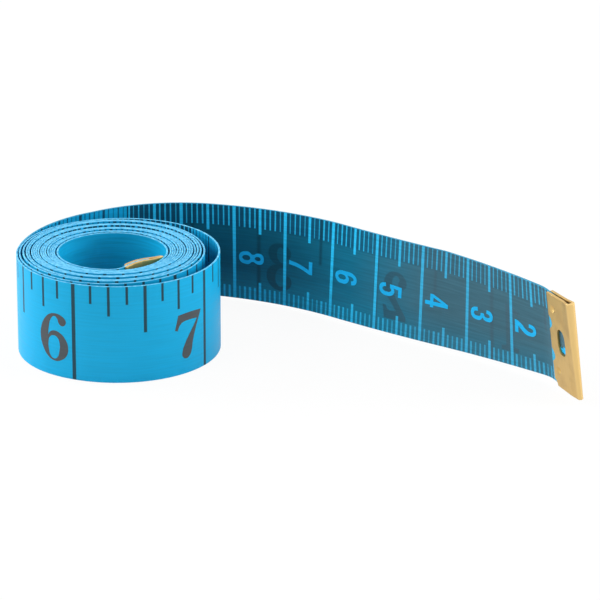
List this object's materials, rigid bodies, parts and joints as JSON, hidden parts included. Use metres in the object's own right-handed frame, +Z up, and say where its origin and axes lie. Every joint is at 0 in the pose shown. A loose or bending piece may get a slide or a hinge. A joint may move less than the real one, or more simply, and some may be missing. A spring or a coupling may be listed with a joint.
{
  "type": "cloth tape measure",
  "caption": "Flexible coated-cloth tape measure standing on edge, partly rolled into a loose coil, with a bending tail and a folded brass tab on each end.",
  "frame": {"origin": "on the resting plane, under the middle of the whole object's bounding box", "axes": "+Z up along the tape's width, +X towards the zero end of the tail, -Y the side from which the tail's centimetre face is read"},
  "size_m": [0.0994, 0.0526, 0.0189],
  "materials": {
    "tape": "satin vinyl coating over woven glass-fibre cloth, printed in inches and centimetres",
    "brass": "satin rolled brass sheet, folded and crimped"
  },
  "bodies": {
    "coil": {"tape_coil": "tape"},
    "tail_1": {"tape_tail_1": "tape"},
    "tail_2": {"tape_tail_2": "tape"},
    "tail_3": {"tape_tail_3": "tape"},
    "tail_4": {"tape_tail_4": "tape"},
    "tail_5": {"tape_tail_5": "tape"},
    "zero_end": {"tape_zero_end": "tape", "zero_tab": "brass"},
    "inner_end": {"tape_inner_end": "tape", "inner_tab": "brass"}
  },
  "joints": [
    {"name": "tail_flex_1", "type": "hinge", "parent": "coil", "child": "tail_1", "pos_m": [-0.04947, 0.00218, 0.009], "axis": [0, 0, 1], "range_deg": [-4, 60]},
    {"name": "tail_flex_2", "type": "hinge", "parent": "tail_1", "child": "tail_2", "pos_m": [-0.03777, 0.02202, 0.0092], "axis": [0, 0, 1], "range_deg": [-20, 40]},
    {"name": "tail_flex_3", "type": "hinge", "parent": "tail_2", "child": "tail_3", "pos_m": [-0.01475, 0.02458, 0.00939], "axis": [-0.0111, -0.0367, 0.9993], "range_deg": [-25, 40]},
    {"name": "tail_flex_4", "type": "hinge", "parent": "tail_3", "child": "tail_4", "pos_m": [0.00681, 0.01419, 0.00957], "axis": [0.0476, 0.058, 0.9972], "range_deg": [-30, 40]},
    {"name": "tail_flex_5", "type": "hinge", "parent": "tail_4", "child": "tail_5", "pos_m": [0.02587, -0.0003, 0.00978], "axis": [0.0378, 0.0544, 0.9978], "range_deg": [-30, 40]},
    {"name": "zero_end_flex", "type": "hinge", "parent": "tail_5", "child": "zero_end", "pos_m": [0.0435, -0.01662, 0.00989], "axis": [-0.1011, -0.1148, 0.9882], "range_deg": [-30, 40]},
    {"name": "inner_end_flex", "type": "hinge", "parent": "coil", "child": "inner_end", "pos_m": [-0.03142, -0.00796, 0.00945], "axis": [0, 0, 1], "range_deg": [0, 35]}
  ]
}
